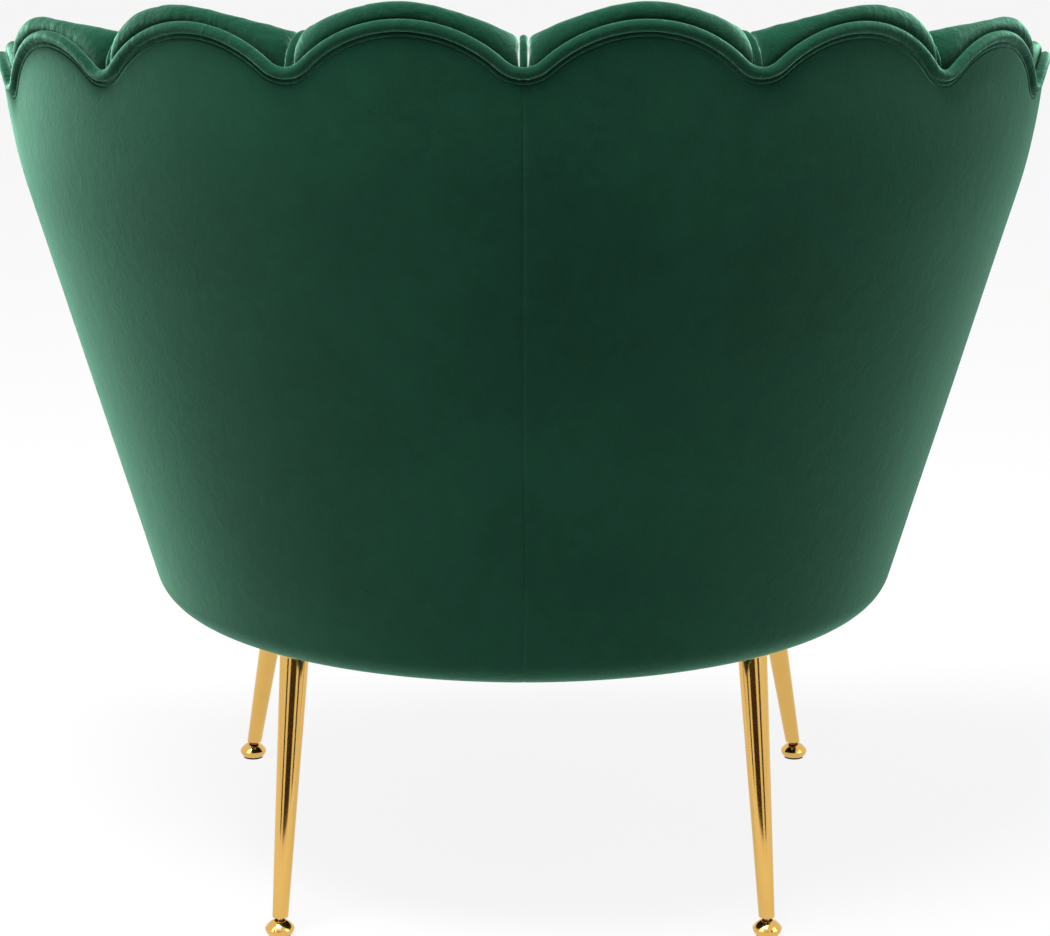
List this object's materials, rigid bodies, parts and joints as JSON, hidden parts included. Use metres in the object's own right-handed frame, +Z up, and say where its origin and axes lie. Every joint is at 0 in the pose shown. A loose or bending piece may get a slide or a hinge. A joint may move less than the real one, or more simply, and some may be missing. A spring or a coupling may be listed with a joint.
{
  "type": "scallop-back tub armchair",
  "caption": "Upholstered tub armchair with a scalloped channel back that rolls over a corded rim, a loose-look seat cushion and splayed tapered metal legs on screw-in levelling feet.",
  "frame": {"origin": "on the floor, under the middle of the chair's width and depth", "axes": "+Z up, the sitter faces -Y, the sitter's left is +X"},
  "size_m": [0.7982, 0.6852, 0.7175],
  "materials": {
    "velvet": "short pile velvet, deep emerald green",
    "velvet_cord": "velvet sewn over cord",
    "lining_board": "plain grey-brown board",
    "lining_cloth": "plain woven cloth",
    "dust_cloth": "thin black non-woven cloth",
    "timber": "sawn timber, unfinished",
    "plywood": "plywood, unfinished",
    "spring_steel": "drawn steel wire and pressed clips",
    "gold_metal": "polished gold plating",
    "plug_plastic": "moulded",
    "zinc_steel": "bright zinc plating",
    "pad_rubber": "black, smooth"
  },
  "bodies": {
    "chair": {"base_board": "plywood", "corner_blocks": "timber", "dust_cover": "dust_cloth", "front_border": "velvet", "front_rail": "timber", "inner_lining": "lining_cloth", "leg_front_left": "gold_metal", "leg_front_right": "gold_metal", "leg_plate_front_left": "gold_metal", "leg_plate_front_right": "gold_metal", "leg_plate_rear_left": "gold_metal", "leg_plate_rear_right": "gold_metal", "leg_plug_front_left": "plug_plastic", "leg_plug_front_right": "plug_plastic", "leg_plug_rear_left": "plug_plastic", "leg_plug_rear_right": "plug_plastic", "leg_rear_left": "gold_metal", "leg_rear_right": "gold_metal", "leg_screws": "zinc_steel", "lower_ribs": "timber", "outer_cover_left": "velvet", "outer_cover_right": "velvet", "outer_lining": "lining_board", "petal_left_1": "velvet", "petal_left_2": "velvet", "petal_left_3": "velvet", "petal_left_4": "velvet", "petal_left_5": "velvet", "petal_piping": "velvet_cord", "petal_right_1": "velvet", "petal_right_2": "velvet", "petal_right_3": "velvet", "petal_right_4": "velvet", "petal_right_5": "velvet", "rear_rail": "timber", "rim_rail": "timber", "rim_ridge": "velvet_cord", "rim_welt": "velvet_cord", "seat_cushion": "velvet", "seat_deck": "lining_cloth", "seat_springs": "spring_steel", "side_rail_left": "timber", "side_rail_right": "timber", "spring_clips": "spring_steel", "upper_ribs": "timber", "waist_rail": "timber"},
    "foot_rear_left": {"foot_bell_rear_left": "gold_metal", "foot_pad_rear_left": "pad_rubber"},
    "stem_rear_left": {"foot_stem_rear_left": "zinc_steel"},
    "foot_rear_right": {"foot_bell_rear_right": "gold_metal", "foot_pad_rear_right": "pad_rubber"},
    "stem_rear_right": {"foot_stem_rear_right": "zinc_steel"},
    "foot_front_left": {"foot_bell_front_left": "gold_metal", "foot_pad_front_left": "pad_rubber"},
    "stem_front_left": {"foot_stem_front_left": "zinc_steel"},
    "foot_front_right": {"foot_bell_front_right": "gold_metal", "foot_pad_front_right": "pad_rubber"},
    "stem_front_right": {"foot_stem_front_right": "zinc_steel"}
  },
  "joints": [
    {"name": "foot_height_rear_left", "type": "slide", "parent": "chair", "child": "foot_rear_left", "axis": [0.0556, 0.2122, -0.9756], "range_m": [0, 0.008]},
    {"name": "foot_screw_rear_left", "type": "hinge", "parent": "foot_rear_left", "child": "stem_rear_left", "pos_m": [0.1824, 0.16392, 0.0076], "axis": [0.0556, 0.2122, -0.9756], "range_deg": [0, 2881]},
    {"name": "foot_height_rear_right", "type": "slide", "parent": "chair", "child": "foot_rear_right", "axis": [-0.0556, 0.2122, -0.9756], "range_m": [0, 0.008]},
    {"name": "foot_screw_rear_right", "type": "hinge", "parent": "foot_rear_right", "child": "stem_rear_right", "pos_m": [-0.1824, 0.16392, 0.0076], "axis": [-0.0556, 0.2122, -0.9756], "range_deg": [0, 2881]},
    {"name": "foot_height_front_left", "type": "slide", "parent": "chair", "child": "foot_front_left", "axis": [0.1686, -0.21, -0.9631], "range_m": [0, 0.008]},
    {"name": "foot_screw_front_left", "type": "hinge", "parent": "foot_front_left", "child": "stem_front_left", "pos_m": [0.23262, -0.25923, 0.0076], "axis": [0.1686, -0.21, -0.9631], "range_deg": [0, 2881]},
    {"name": "foot_height_front_right", "type": "slide", "parent": "chair", "child": "foot_front_right", "axis": [-0.1686, -0.21, -0.9631], "range_m": [0, 0.008]},
    {"name": "foot_screw_front_right", "type": "hinge", "parent": "foot_front_right", "child": "stem_front_right", "pos_m": [-0.23262, -0.25923, 0.0076], "axis": [-0.1686, -0.21, -0.9631], "range_deg": [0, 2881]}
  ],
  "couplings": [
    {"joint": "foot_screw_rear_left", "follows": "foot_height_rear_left", "rad_per_m": 6283.2},
    {"joint": "foot_screw_rear_right", "follows": "foot_height_rear_right", "rad_per_m": 6283.2},
    {"joint": "foot_screw_front_left", "follows": "foot_height_front_left", "rad_per_m": 6283.2},
    {"joint": "foot_screw_front_right", "follows": "foot_height_front_right", "rad_per_m": 6283.2}
  ]
}
